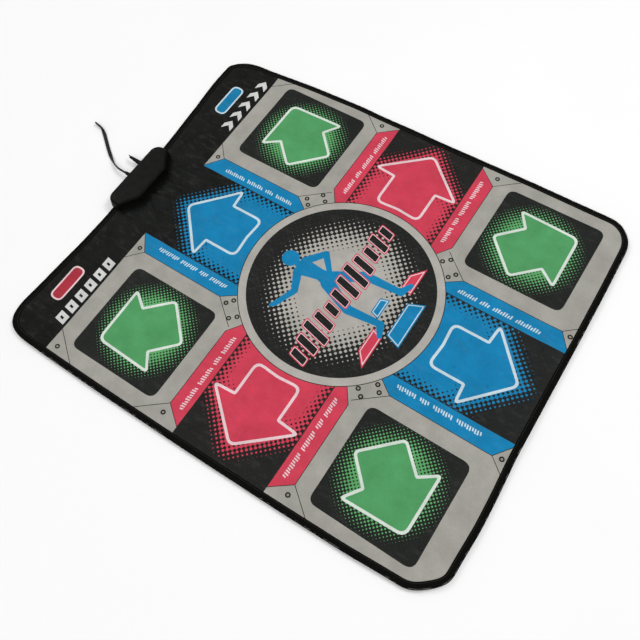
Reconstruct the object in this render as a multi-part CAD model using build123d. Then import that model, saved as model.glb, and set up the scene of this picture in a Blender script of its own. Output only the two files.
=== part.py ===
from build123d import *
from math import radians, tan
import os

# A soft dance mat, in millimetres. +Z is up, +Y runs from the player's side to the control box.
# The origin is on the underside, below the centre of the round stage disc.
# Five layers are bound together round the edge: backing, lower contact film, foam spacer,
# upper contact film and printed cover. Each step zone is a patch of cover and film that presses
# down through a window in the foam. A hard control box is screwed round the rear edge.

# ---- Driving dimensions: the mat -------------------------------------------------------------
MAT_WIDTH = 810.0
FRONT_Y = -432.0
REAR_Y = 516.0
CORNER_RADIUS = 62.0

BACKING = 1.0            # anti-slip backing
FILM = 0.3               # polyester contact film
FOAM = 3.0               # foam spacer between the films
COVER = 0.8              # printed vinyl cover
CARBON = 0.2             # carbon print of one contact
TAPE = 0.6               # edge binding tape
TAPE_WIDTH = 13.0

# ---- Driving dimensions: the step zones ------------------------------------------------------
ZONE_SIDE = 170.0        # side of an arrow's step zone
ZONE_RADIUS = 14.0
CROSS_ZONE_Y = 297.0     # centres of the up and down zones
CROSS_ZONE_X = 285.0     # centres of the left and right zones
CORNER_ZONE = 266.0      # centres of the four diagonal zones
PILL_X = 274.0           # centres of the two small menu zones
PILL_Y = 470.0
PILL_LENGTH = 84.0
PILL_WIDTH = 30.0
ZONE_GAP = 0.5           # free border round a zone
CONTACT_INSET = 3.0      # from a zone's rim to its carbon print

# ---- Driving dimensions: the control box -----------------------------------------------------
BOX_X = -4.0             # centre line of the box
BOX_REAR = 523.5
BOX_FRONT = 460.0
BOX_SIDE_FRONT = 487.0   # where the slanted front corners meet the sides
BOX_HALF_WIDTH = 85.0
BOX_HALF_FRONT = 43.0
BOX_TOP = 25.0
BOX_DRAFT = 8.0          # degrees that the walls lean in
BOX_REAR_RADIUS = 22.0
BOX_FRONT_RADIUS = 9.0
BOX_EDGE_RADIUS = 5.5    # round along the top edge
WALL = 2.0
LIP = 1.0                # lip of the base, under the mat's layers

NOTCH_HALF = 78.0        # notch that the layers leave for the box
NOTCH_FRONT = 474.0
NOTCH_CORNER_X = 53.5    # its front corners are cut off beside the box's slanted corners
NOTCH_CORNER_Y = 490.0
NOTCH_PLAY = 0.2
TAPE_END_GAP = 0.5       # from the box's sides to the ends of the binding tape

TAIL_HALF = 33.0         # film tails pass in over this width
TAIL_GAP = 4.0
TAIL_FOOT = 460.0        # where the lower film's tail is joined on
TAIL_RISE = 466.0        # where it starts to rise through the foam
TAIL_CREST = 476.0
TAIL_END = 489.0
TAIL_SLIT = 0.5          # slit between the rising tail and the film round it
FOAM_SLOT_FRONT = 462.0
FOAM_SLOT_REAR = 475.0

# ---- Driving dimensions: inside the control box ----------------------------------------------
BOARD_HALF = 60.0
BOARD_FRONT = 477.5
BOARD_REAR = 510.5
BOARD_CHAMFER = 7.0      # cut off the board's front corners
BOARD = 1.6
STRIP_FRONT = 479.0      # front of the rubber strip under the board
FINGER_GATE = 3.0        # depth of the opening in the base for the film tails

BOX_SCREW_X = 68.0
BOX_SCREW_YS = (492.5, 505.5)
BOX_SCREW_HEAD = (2.8, 1.6)      # radius and height
BOX_SCREW_SHANK = 1.25
BOX_SCREW_SEAT = 2.2     # height that the heads bear on
BOX_SCREW_TIP = 15.0
BOX_SCREW_HOLE = 1.6
HEAD_PLAY = 0.3
BOX_PILOT = 1.3
BOX_PILOT_END = 17.0
BOX_BOSS = 4.0           # radius of the shell's bosses
BOX_BOSS_SEAT = 4.6      # radius of the base's bosses below them
BOARD_SCREW_X = 54.0
BOARD_SCREW_YS = (484.0, 505.0)
BOARD_SCREW_HEAD = (2.0, 1.2)
BOARD_SCREW_SHANK = 0.9
BOARD_SCREW_TIP = 12.0
BOARD_SCREW_HOLE = 1.1
BOARD_PILOT = 0.95
BOARD_PILOT_END = 13.0
BOARD_BOSS = 2.8

DROP_XS = (-22.0, 12.0)  # places on the board are from the box's centre line
DROP_Y = 494.0
DROP_SPHERE = 9.0
DROP_HEIGHT = 2.0
RESONATOR_AT = (-5.0, 499.0)
RESONATOR_SIZE = (7.0, 3.0, 5.0)
RESONATOR_RADIUS = 0.8
RESISTORS_AT = (25.0, 486.0)
RESISTOR_COUNT = 6
RESISTOR_PITCH = 4.0
RESISTOR_RADIUS = 1.1
RESISTOR_LENGTH = 6.0
CAPACITOR_AT = (38.0, 498.0)
CAPACITOR_RADIUS = 2.5
CAPACITOR_HEIGHT = 7.0
SMALL_ROUND = 0.4        # round on the ends of the small components

# ---- Driving dimensions: the leads -----------------------------------------------------------
LEAD_Z = 12.0            # height at which both leads leave the box
LONG_LEAD_X = -9.5
LONG_LEAD = 3.0          # diameter of the tube that stands for the flat lead
FLAT_LEAD_WIDTH = 7.6
FLAT_LEAD_THICKNESS = 2.7
FLAT_LEAD_RADIUS = 1.2
SHORT_LEAD_X = 26.0
SHORT_LEAD = 2.0
BEND_SHARE = 0.45        # share of the shorter run that a bend may use

BOOT_ROOT = 5.4          # radius of a strain relief where it leaves the box
BOOT_NECK = 4.6
NECK_PLAY = 0.1
FLANGE_Y = 517.2
FLANGE = 1.5
COLLAR_Y = 523.8         # where the taper starts, just clear of the rear wall
LONG_BOOT_TIP = 537.0
LONG_BOOT_WALL = 0.9     # rubber round the flat lead at the tip
LONG_BOOT_RADIUS = 1.6
SHORT_BOOT_TIP = 556.0
SHORT_BOOT_END = 2.9     # radius at the tip
SHORT_BOOT_LEAN = 2.5    # sideways lean of the short lead's strain relief
SHORT_BORE_PLAY = 0.7
RIB_YS = (528.0, 533.0, 538.0, 543.0, 548.0)
RIB_GROOVE = 1.6         # width of the grooves between the ribs
RIB_DEPTH = 0.5

WIRE_RADIUS = 0.5
JOINT_RADIUS = 1.2       # drop of solder
JOINT_Y = 506.0
JOINT_PITCH = 4.4        # between soldered joints
CORE_PITCH = 1.8         # between the same wires in the lead
LONG_WIRES = 4
SHORT_WIRES = 2
WIRE_SINK = 0.3          # how deep a wire sits in its solder
WIRE_END_GAP = 0.4       # between a wire and the flange

LONG_ROUTE = [
    (LONG_LEAD_X, LONG_BOOT_TIP, LEAD_Z),
    (-8.7, 549.0, 10.9),
    (-7.0, 563.0, 8.2),
    (-2.0, 578.0, 5.4),
    (6.0, 593.0, 3.5),
    (16.5, 609.0, 2.4),
    (29.5, 627.0, 1.8),
    (42.0, 643.0, 1.8),
    (52.5, 656.5, 2.2),
    (60.0, 669.0, 3.2),
    (63.6, 680.5, 4.0),
    (64.9, 692.3, 4.3),
]
SHORT_ROUTE = [
    (SHORT_LEAD_X, 518.5, LEAD_Z),
    (26.4, 530.0, LEAD_Z),
    (27.3, 542.5, 11.95),
    (28.4, 554.5, 11.8),
    (31.2, 562.3, 10.9),
]

# ---- Worked out from the driving dimensions --------------------------------------------------
Z_LOWER_FILM = BACKING
Z_FOAM = Z_LOWER_FILM + FILM
Z_UPPER_FILM = Z_FOAM + FOAM
Z_COVER = Z_UPPER_FILM + FILM
Z_COVER_TOP = Z_COVER + COVER
Z_TOP = Z_COVER_TOP + TAPE
MID_Y = (FRONT_Y + REAR_Y) / 2
MAT_LENGTH = REAR_Y - FRONT_Y
BOX_FOOT = Z_COVER_TOP
Z_BOARD = Z_COVER
Z_BOARD_TOP = Z_BOARD + BOARD


def slab(sketch, low, high):
    """A flat solid of one outline between two heights."""
    return Pos(0, 0, low) * extrude(sketch, amount=high - low)


def post(x, y, radius, low, high):
    """A vertical cylinder between two heights."""
    return slab(Pos(x, y) * Circle(radius), low, high)


def bar(x_range, y_range, z_range):
    """A block given by its limits."""
    size = [high - low for low, high in (x_range, y_range, z_range)]
    centre = [(high + low) / 2 for low, high in (x_range, y_range, z_range)]
    return Pos(*centre) * Box(*size)


def rod(start, end, radius):
    """A round rod between two points."""
    line = Line(start, end)
    return sweep(Plane(origin=start, z_dir=line % 0) * Circle(radius), path=line)


def group(solids):
    """Several separate solids in one node."""
    return Compound(children=list(solids))


# ---- Outlines --------------------------------------------------------------------------------
def mat_outline(inset=0.0):
    return Pos(0, MID_Y) * RectangleRounded(
        MAT_WIDTH - 2 * inset, MAT_LENGTH - 2 * inset, CORNER_RADIUS - inset
    )


def zones():
    """Name and outline maker of every step zone; the maker takes the extra width all round."""

    def arrow(x, y):
        return lambda grow: Pos(x, y) * RectangleRounded(
            ZONE_SIDE + 2 * grow, ZONE_SIDE + 2 * grow, ZONE_RADIUS + grow
        )

    def pill(x):
        return lambda grow: Pos(x, PILL_Y) * SlotOverall(
            PILL_LENGTH + 2 * grow, PILL_WIDTH + 2 * grow
        )

    return {
        "up": arrow(0, CROSS_ZONE_Y),
        "down": arrow(0, -CROSS_ZONE_Y),
        "left": arrow(-CROSS_ZONE_X, 0),
        "right": arrow(CROSS_ZONE_X, 0),
        "up_left": arrow(-CORNER_ZONE, CORNER_ZONE),
        "up_right": arrow(CORNER_ZONE, CORNER_ZONE),
        "down_left": arrow(-CORNER_ZONE, -CORNER_ZONE),
        "down_right": arrow(CORNER_ZONE, -CORNER_ZONE),
        "select": pill(-PILL_X),
        "start": pill(PILL_X),
    }


def box_outline(inset=0.0):
    """Foot of the control box: straight rear, slanted front corners, all corners rounded."""
    right = [
        (BOX_HALF_FRONT, BOX_FRONT),
        (BOX_HALF_WIDTH, BOX_SIDE_FRONT),
        (BOX_HALF_WIDTH, BOX_REAR),
    ]
    left = [(-x, y) for x, y in reversed(right)]
    face = make_face(Polyline(*right, *left, close=True))
    rear = [v for v in face.vertices() if v.Y > BOX_REAR - 1]
    face = fillet(rear, BOX_REAR_RADIUS)
    front = [v for v in face.vertices() if v.Y < BOX_SIDE_FRONT + 1]
    face = fillet(front, BOX_FRONT_RADIUS)
    if inset:
        face = offset(face, -inset)
    return Pos(BOX_X, 0) * face


def notch():
    """The notch in the mat's layers that the box stands in."""
    rear = REAR_Y + TAPE_WIDTH
    right = [(NOTCH_CORNER_X, NOTCH_FRONT), (NOTCH_HALF, NOTCH_CORNER_Y), (NOTCH_HALF, rear)]
    left = [(-x, y) for x, y in reversed(right)]
    return Pos(BOX_X, 0) * make_face(Polyline(*right, *left, close=True))


def tail_slot():
    """The wider cut that the foam leaves for the rising tail of the lower film."""
    middle = (FOAM_SLOT_FRONT + FOAM_SLOT_REAR) / 2
    return Pos(BOX_X, middle) * Rectangle(2 * TAIL_HALF, FOAM_SLOT_REAR - FOAM_SLOT_FRONT)


# ---- The layers of the mat -------------------------------------------------------------------
def windows(grow):
    """One opening for every step zone."""
    return Sketch() + [outline(grow) for outline in zones().values()]


def make_backing():
    wide = slab(mat_outline(TAPE), TAPE, BACKING)
    flush = slab(mat_outline(TAPE_WIDTH), 0, BACKING)
    return wide + flush - slab(box_outline(LIP), 0, BACKING) - slab(notch(), 0, BACKING)


def make_lower_film():
    film = slab(mat_outline(TAPE) - notch(), Z_LOWER_FILM, Z_FOAM)
    under = [(TAIL_FOOT, Z_LOWER_FILM), (TAIL_RISE, Z_LOWER_FILM)]
    under += [(TAIL_CREST, Z_UPPER_FILM), (TAIL_END, Z_UPPER_FILM)]
    over = [(y, z + FILM) for y, z in reversed(under)]
    side = Plane.YZ * make_face(Polyline(*under, *over, close=True))
    tail = Pos(BOX_X + TAIL_GAP / 2, 0, 0) * extrude(side, amount=TAIL_HALF - TAIL_GAP)
    cut = bar(
        (BOX_X, BOX_X + TAIL_HALF - TAIL_GAP / 2),
        (TAIL_RISE + TAIL_SLIT, NOTCH_FRONT + 1),
        (Z_LOWER_FILM, Z_FOAM),
    )
    return film - cut + tail


def make_foam():
    return slab(mat_outline(TAPE) - notch() - tail_slot() - windows(ZONE_GAP), Z_FOAM, Z_UPPER_FILM)


def make_upper_film():
    film = mat_outline(TAPE) - notch() - windows(ZONE_GAP)
    width = TAIL_HALF - TAIL_GAP
    tail = Pos(BOX_X - TAIL_GAP / 2 - width / 2, (NOTCH_FRONT + TAIL_END) / 2) * Rectangle(
        width, TAIL_END - NOTCH_FRONT
    )
    return slab(film, Z_UPPER_FILM, Z_COVER) + slab(tail, Z_UPPER_FILM, Z_COVER)


def make_cover():
    return slab(mat_outline(TAPE) - notch() - windows(ZONE_GAP), Z_COVER, Z_COVER_TOP)


def make_lower_contacts():
    """The carbon squares printed on the lower film, one in each foam window."""
    return group([slab(outline(-CONTACT_INSET), Z_FOAM, Z_FOAM + CARBON) for outline in zones().values()])


def make_binding():
    """Tape folded round the edge; its two ends are tucked in at the control box."""
    ring = slab(mat_outline(), 0, Z_TOP) - slab(mat_outline(TAPE_WIDTH), 0, Z_TOP)
    ring -= slab(mat_outline(TAPE), TAPE, Z_COVER_TOP)
    reach = BOX_HALF_WIDTH + TAPE_END_GAP
    return ring - bar((BOX_X - reach, BOX_X + reach), (NOTCH_FRONT, REAR_Y + 1), (-1, Z_TOP + 1))


def make_pad(outline):
    """The patch of printed cover that a foot presses."""
    return slab(outline(0), Z_COVER, Z_COVER_TOP)


def make_contact(outline):
    """The patch of upper film under a pad, with its carbon print below."""
    film = slab(outline(0), Z_UPPER_FILM, Z_COVER)
    return film + slab(outline(-CONTACT_INSET), Z_UPPER_FILM - CARBON, Z_UPPER_FILM)


# ---- The control box -------------------------------------------------------------------------
def drafted(inset, low, high):
    """The box outline drawn up with its leaning walls."""
    return Pos(0, 0, low) * extrude(box_outline(inset), amount=high - low, taper=BOX_DRAFT)


def both_sides(half, ys):
    """Points at both sides of the box's centre line."""
    return [(BOX_X + side * half, y) for side in (-1, 1) for y in ys]


BOX_SCREWS = both_sides(BOX_SCREW_X, BOX_SCREW_YS)
BOARD_SCREWS = both_sides(BOARD_SCREW_X, BOARD_SCREW_YS)


def rounded_top(solid, radius):
    """The solid with its top edge rounded."""
    return fillet(solid.faces().sort_by(Axis.Z)[-1].edges(), radius)


def make_box_top():
    shell = rounded_top(drafted(0, BOX_FOOT, BOX_TOP), BOX_EDGE_RADIUS)
    shell -= rounded_top(drafted(WALL, BOX_FOOT, BOX_TOP - WALL), BOX_EDGE_RADIUS - WALL)
    ceiling = BOX_TOP - WALL / 2
    for x, y in BOX_SCREWS:
        shell += post(x, y, BOX_BOSS, BOX_FOOT, ceiling)
    for x, y in BOARD_SCREWS:
        shell += post(x, y, BOARD_BOSS, Z_BOARD_TOP, ceiling)
    for x, y in BOX_SCREWS:
        shell -= post(x, y, BOX_PILOT, BOX_FOOT, BOX_PILOT_END)
    for x, y in BOARD_SCREWS:
        shell -= post(x, y, BOARD_PILOT, Z_BOARD_TOP, BOARD_PILOT_END)
    for x in (LONG_LEAD_X, SHORT_LEAD_X):
        hole = Cylinder(BOOT_NECK + NECK_PLAY, 2 * (BOX_REAR - FLANGE_Y))
        shell -= Pos(x, BOX_REAR, LEAD_Z) * Rot(90, 0, 0) * hole
    return shell


def make_box_base():
    """A tray in the notch, with a thin lip that reaches under the mat's layers."""
    tray = box_outline() & offset(notch(), -NOTCH_PLAY)
    base = slab(box_outline(LIP), 0, LIP) + slab(tray, 0, BOX_FOOT)
    base -= slab(offset(tray, -WALL), WALL, BOX_FOOT)
    base -= bar(
        (BOX_X - TAIL_HALF, BOX_X + TAIL_HALF),
        (NOTCH_FRONT - 1, NOTCH_FRONT + FINGER_GATE),
        (WALL, BOX_FOOT),
    )
    for x, y in BOX_SCREWS:
        base += post(x, y, BOX_BOSS_SEAT, WALL, BOX_FOOT)
    for x, y in BOX_SCREWS:
        base -= post(x, y, BOX_SCREW_HOLE, 0, BOX_FOOT)
        base -= post(x, y, BOX_SCREW_HEAD[0] + HEAD_PLAY, 0, BOX_SCREW_SEAT)
    return base


def screw(x, y, head, seat, shank_radius, tip):
    """A pan-head screw driven upwards, with a cross recess in its head."""
    radius, height = head
    body = post(x, y, radius, seat - height, seat) + post(x, y, shank_radius, seat, tip)
    arm, depth = 0.6 * radius, 0.5 * height
    for turn in (0, 90):
        body -= Pos(x, y, seat - height) * Rot(0, 0, turn) * Box(2 * arm, 0.3 * arm, 2 * depth)
    return body


def make_box_screws():
    return group(
        screw(x, y, BOX_SCREW_HEAD, BOX_SCREW_SEAT, BOX_SCREW_SHANK, BOX_SCREW_TIP) for x, y in BOX_SCREWS
    )


def make_board_screws():
    return group(
        screw(x, y, BOARD_SCREW_HEAD, Z_BOARD, BOARD_SCREW_SHANK, BOARD_SCREW_TIP) for x, y in BOARD_SCREWS
    )


def make_board():
    board = bar(
        (BOX_X - BOARD_HALF, BOX_X + BOARD_HALF), (BOARD_FRONT, BOARD_REAR), (Z_BOARD, Z_BOARD_TOP)
    )
    front = board.edges().filter_by(Axis.Z).sort_by(Axis.Y)[:2]
    board = chamfer(front, BOARD_CHAMFER)
    for x, y in BOARD_SCREWS:
        board -= post(x, y, BOARD_SCREW_HOLE, Z_BOARD, Z_BOARD_TOP)
    return board


def make_pressure_strip():
    """Rubber strip that holds the film tails against the contact fingers of the board."""
    half = TAIL_HALF - 1
    return bar((BOX_X - half, BOX_X + half), (STRIP_FRONT, TAIL_END), (WALL, Z_UPPER_FILM))


def on_board(x, y):
    """The place of a component on the board, x from the box's centre line."""
    return Pos(BOX_X + x, y, Z_BOARD_TOP)


def make_chip_blobs():
    """Two drops of epoxy over the bonded chips."""
    low = DROP_SPHERE - DROP_HEIGHT
    cap = Sphere(DROP_SPHERE) & Pos(0, 0, low + DROP_SPHERE) * Box(*[2 * DROP_SPHERE] * 3)
    return group(on_board(x, DROP_Y) * Pos(0, 0, -low) * cap for x in DROP_XS)


def make_resonator():
    block = Pos(0, 0, RESONATOR_SIZE[2] / 2) * Box(*RESONATOR_SIZE)
    return on_board(*RESONATOR_AT) * fillet(block.edges().filter_by(Axis.Z), RESONATOR_RADIUS)


def make_resistors():
    body = Pos(0, 0, RESISTOR_RADIUS) * Rot(90, 0, 0) * Cylinder(RESISTOR_RADIUS, RESISTOR_LENGTH)
    body = fillet(body.edges(), SMALL_ROUND)
    x, y = RESISTORS_AT
    return group(on_board(x + RESISTOR_PITCH * n, y) * body for n in range(RESISTOR_COUNT))


def make_capacitor():
    can = Pos(0, 0, CAPACITOR_HEIGHT / 2) * Cylinder(CAPACITOR_RADIUS, CAPACITOR_HEIGHT)
    return on_board(*CAPACITOR_AT) * fillet(can.edges().sort_by(Axis.Z)[-1], SMALL_ROUND)


# ---- The leads and their strain reliefs ------------------------------------------------------
def upright(x, y, outline):
    """An outline stood up across the lead, facing away from the box."""
    return Plane(origin=(x, y, LEAD_Z), x_dir=(1, 0, 0), z_dir=(0, 1, 0)) * outline


def make_boot(x, tip, tip_outline, bore, lean=0.0):
    """Tapered strain relief: flange inside the wall, neck through it, taper outside."""
    flange = extrude(upright(x, FLANGE_Y, Circle(BOOT_ROOT)), amount=FLANGE)
    neck = extrude(upright(x, FLANGE_Y, Circle(BOOT_NECK)), amount=COLLAR_Y - FLANGE_Y)
    cone = loft([upright(x, COLLAR_Y, Circle(BOOT_ROOT)), upright(x + lean, tip, tip_outline)])
    straight = extrude(upright(x, FLANGE_Y, bore), amount=COLLAR_Y - FLANGE_Y)
    leaning = loft([upright(x, COLLAR_Y, bore), upright(x + lean, tip, bore)])
    return flange + neck + cone - straight - leaning


def make_boot_long():
    """The flat lead leaves on edge, so this boot ends tall and narrow."""
    width, height = FLAT_LEAD_THICKNESS + 2 * LONG_BOOT_WALL, FLAT_LEAD_WIDTH + 2 * LONG_BOOT_WALL
    bore = RectangleRounded(FLAT_LEAD_THICKNESS, FLAT_LEAD_WIDTH, FLAT_LEAD_RADIUS)
    return make_boot(LONG_LEAD_X, LONG_BOOT_TIP, RectangleRounded(width, height, LONG_BOOT_RADIUS), bore)


def make_boot_short():
    """The round lead's boot, with grooves between its ribs."""
    bore = Circle(SHORT_LEAD / 2 + SHORT_BORE_PLAY)
    boot = make_boot(SHORT_LEAD_X, SHORT_BOOT_TIP, Circle(SHORT_BOOT_END), bore, SHORT_BOOT_LEAN)
    for y in RIB_YS:
        share = (y - COLLAR_Y) / (SHORT_BOOT_TIP - COLLAR_Y)
        outer = BOOT_ROOT + share * (SHORT_BOOT_END - BOOT_ROOT)
        ring = Circle(2 * BOOT_ROOT) - Circle(outer - RIB_DEPTH)
        boot -= extrude(upright(SHORT_LEAD_X + share * SHORT_BOOT_LEAN, y, ring), amount=RIB_GROOVE)
    return boot


def bend_radii(route):
    """For each inner point, the largest arc that its two runs allow."""
    radii = []
    for before, at, after in zip(route, route[1:], route[2:]):
        into, out = Vector(*at) - Vector(*before), Vector(*after) - Vector(*at)
        turn = radians(into.get_angle(out))
        radii.append(BEND_SHARE * min(into.length, out.length) / tan(turn / 2))
    return radii


def make_lead(name, route, diameter):
    """A round tube along straight runs joined by tangent arcs."""
    radii = bend_radii(route)
    path = FilletPolyline(*route, radius=radii)
    tube = sweep(Plane(origin=route[0], z_dir=path % 0) * Circle(diameter / 2), path=path)
    print(name, "length", round(path.length, 1), "radii", [round(r, 1) for r in radii])
    share = tube.volume / (Circle(diameter / 2).area * path.length)
    print(name, "volume over section times length", round(share, 4))
    return tube


def make_wires():
    """Insulated wires from the leads to their soldered joints on the board."""
    solder = Sphere(JOINT_RADIUS) & Pos(0, 0, JOINT_RADIUS) * Box(*[2 * JOINT_RADIUS] * 3)
    wires = []
    for x, count in ((LONG_LEAD_X, LONG_WIRES), (SHORT_LEAD_X, SHORT_WIRES)):
        for n in range(count):
            place = n - (count - 1) / 2
            joint = (x + JOINT_PITCH * place, JOINT_Y, Z_BOARD_TOP)
            foot = (joint[0], JOINT_Y, Z_BOARD_TOP + JOINT_RADIUS - WIRE_SINK)
            start = (x + CORE_PITCH * place, FLANGE_Y - WIRE_END_GAP, LEAD_Z - WIRE_RADIUS)
            wires.append(Pos(*joint) * solder + rod(foot, start, WIRE_RADIUS))
    return group(wires)


# ---- Everything ------------------------------------------------------------------------------
def make_parts():
    parts = {
        "backing": make_backing(),
        "lower_film": make_lower_film(),
        "lower_contacts": make_lower_contacts(),
        "foam_spacer": make_foam(),
        "upper_film": make_upper_film(),
        "printed_cover": make_cover(),
        "edge_binding": make_binding(),
        "box_top_shell": make_box_top(),
        "box_base": make_box_base(),
        "box_screws": make_box_screws(),
        "control_board": make_board(),
        "board_screws": make_board_screws(),
        "pressure_strip": make_pressure_strip(),
        "chip_blobs": make_chip_blobs(),
        "resonator": make_resonator(),
        "resistors": make_resistors(),
        "capacitor": make_capacitor(),
        "board_wires": make_wires(),
        "strain_relief_long": make_boot_long(),
        "strain_relief_short": make_boot_short(),
        "lead_long": make_lead("lead_long", LONG_ROUTE, LONG_LEAD),
        "lead_short": make_lead("lead_short", SHORT_ROUTE, SHORT_LEAD),
    }
    for name, outline in zones().items():
        parts["pad_" + name] = make_pad(outline)
        parts["contact_" + name] = make_contact(outline)
    return parts


os.makedirs("parts", exist_ok=True)
for node, solid in make_parts().items():
    export_step(solid, f"parts/{node}.step")
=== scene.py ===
from collections import namedtuple
from math import atan2, cos, exp, hypot, pi, radians, sin, tan

import bmesh
import bpy
import numpy as np
from mathutils import Matrix, Vector, geometry, noise


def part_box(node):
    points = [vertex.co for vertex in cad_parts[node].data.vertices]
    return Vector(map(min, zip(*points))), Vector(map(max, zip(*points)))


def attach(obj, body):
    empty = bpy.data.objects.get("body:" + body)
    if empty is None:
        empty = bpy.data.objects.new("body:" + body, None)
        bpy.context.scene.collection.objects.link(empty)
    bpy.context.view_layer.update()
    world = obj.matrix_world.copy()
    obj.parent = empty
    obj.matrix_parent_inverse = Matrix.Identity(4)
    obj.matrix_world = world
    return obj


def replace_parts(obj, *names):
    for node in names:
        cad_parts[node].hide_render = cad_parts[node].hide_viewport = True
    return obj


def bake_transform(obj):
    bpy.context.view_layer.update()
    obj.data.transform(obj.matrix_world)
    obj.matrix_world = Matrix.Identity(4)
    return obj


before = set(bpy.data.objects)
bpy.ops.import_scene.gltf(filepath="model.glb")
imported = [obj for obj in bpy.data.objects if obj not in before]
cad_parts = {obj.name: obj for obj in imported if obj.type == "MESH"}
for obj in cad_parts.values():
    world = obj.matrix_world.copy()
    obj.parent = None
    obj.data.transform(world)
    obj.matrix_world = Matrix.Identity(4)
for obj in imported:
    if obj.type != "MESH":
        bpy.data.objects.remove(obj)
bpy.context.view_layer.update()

# The looks of a soft dance mat. Sizes are in millimetres until a mesh is made, apart from the leads,
# whose routes and sizes are in metres. +Y runs to the control box, and the print is drawn in the plan
# view from above.
MM = 0.001


def extent(node):
    """Lowest and highest corner of a CAD node, in millimetres."""
    low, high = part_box(node)
    return low / MM, high / MM


MAT_LOW, MAT_HIGH = extent("edge_binding")
BOX_LOW, BOX_HIGH = extent("box_top_shell")
COVER_TOP = extent("printed_cover")[1].z
MIDDLE_Y = (MAT_LOW.y + MAT_HIGH.y) / 2
BOX_X = (BOX_LOW.x + BOX_HIGH.x) / 2
BOX_HALF = (BOX_HIGH.x - BOX_LOW.x) / 2
CORNER = 62.0            # radius of the mat's corners
TAPE_WIDTH = 13.0
TAPE_TUCK = 1.2          # the tape squeezes the layers' edges in by this much
TAPE_UNDER_BOX = 8.8     # the tape's ends reach this far in under the box
COVER_UNDER_BOX = 7.0    # and the cover this far
GREY_REAR = 410.0        # where the grey print ends and the black rear strip starts
MESH_STEP = 6.0          # spacing of the cover's points
FINE_STEP = 3.2          # and near the box
FINE_REACH = 95.0        # how far from the box they are closer together
LAYER_STEP = 24.0        # how closely the layers are cut, so that they can follow the waves
EDGE_LIFT = 3.4          # height of the waves along the edge
CORNER_LIFT = 2.4        # height of the corners off the floor

# ---- Print colours, as sRGB ----
INKS = {
    "rear": (6, 6, 4),
    "cloth": (25, 27, 25),
    "line": (34, 34, 32),
    "grey": (160, 158, 150),
    "bolt": (140, 138, 130),
    "bolt_ring": (16, 16, 15),
    "disc_grey": (172, 169, 162),
    "green": (78, 153, 95),
    "green_glow": (92, 166, 102),
    "green_edge": (212, 222, 212),
    "blue": (4, 124, 174),
    "blue_edge": (196, 214, 222),
    "red": (203, 60, 82),
    "red_edge": (228, 200, 204),
    "pill_red": (168, 46, 60),
    "pill_blue": (4, 120, 164),
    "white": (206, 207, 204),
}

# ---- Small helpers ----
def smooth(share):
    share = max(0.0, min(1.0, share))
    return share * share * (3 - 2 * share)


def ramp(value, start, end):
    """From 0 at start to 1 at end, smoothly."""
    return smooth((value - start) / (end - start))


def edge_line(*stations):
    """A smooth line through a few (place, height) stations, as heights at even places."""
    window = np.hanning(19)
    return np.convolve(np.interp(EDGE_PLACES, *zip(*stations)), window / window.sum(), "same")


def along_line(line, value):
    return float(np.interp(value, EDGE_PLACES, line))


def linear(rgb):
    """An sRGB colour, 0 to 255, as the linear colour that shaders take."""
    shares = [c / 255 for c in rgb]
    return [c / 12.92 if c <= 0.04045 else ((c + 0.055) / 1.055) ** 2.4 for c in shares]


# ---- How the soft mat lies ----
# How far each edge lies outside its straight line, along that edge, and each corner outside its arc.
EDGE_PLACES = np.arange(-640, 641, 4.0)
REAR_PULL = edge_line((-400, 5), (-300, -2), (-200, -8.5), (-110, -8.5), (100, -1), (200, 4.5), (300, 12.5),
                      (400, 12.5))
FRONT_PULL = edge_line((-390, 3), (-320, 4), (-260, 6), (-200, 4.5), (-120, 0), (130, -1.5), (260, -3.5),
                       (380, -7))
LEFT_PULL = edge_line((-400, -4), (-340, -1), (-270, 3.3), (-130, 7), (60, 10), (270, 11), (400, 10),
                      (500, 7))
RIGHT_PULL = edge_line((-400, -2.5), (-200, -2), (-70, -5), (40, -7.5), (130, -7), (200, -5.5), (270, -8.5),
                       (330, -11), (450, -21), (516, -21))
CORNER_PULL = {(False, True): 3.5, (True, True): 1.2, (False, False): -4.2, (True, False): 1.6}
PULL_FADE = 60.0         # how far in from the tape the pull dies away


def edge_gap(x, y):
    """Distance in from the nearest edge of the mat, round its corners too."""
    inner_x, inner_y = MAT_HIGH.x - CORNER, MAT_HIGH.y - MIDDLE_Y - CORNER
    out_x, out_y = abs(x) - inner_x, abs(y - MIDDLE_Y) - inner_y
    if out_x > 0 and out_y > 0:
        return CORNER - hypot(out_x, out_y)
    return CORNER - max(out_x, out_y)


def inward(x, y):
    """Direction straight in from the nearest edge of the mat."""
    slope_x = edge_gap(x + 0.5, y) - edge_gap(x - 0.5, y)
    slope_y = edge_gap(x, y + 0.5) - edge_gap(x, y - 0.5)
    return Vector((slope_x, slope_y)).normalized()


def box_gap(x, y):
    """Distance out from the control box."""
    aside = max(abs(x - BOX_X) - BOX_HALF, 0)
    return hypot(aside, max(BOX_LOW.y - y, 0))


def lift(x, y):
    """How high the mat's underside stands off the floor: a little along its edges and corners."""
    wave = noise.noise((x / 130, y / 130, 4.7)) + 0.1
    along_edge = EDGE_LIFT * max(wave, 0) * (1 - ramp(edge_gap(x, y), 0, 80))
    corner = hypot(max(abs(x) - 300, 0), max(abs(y - MIDDLE_Y) - 370, 0))
    at_corner = CORNER_LIFT * ramp(corner, 30, 135)
    return (along_edge + at_corner) * ramp(box_gap(x, y), 20, 110)


def near_edge(gap):
    return 1 - ramp(gap, TAPE_WIDTH, TAPE_WIDTH + PULL_FADE)


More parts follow.
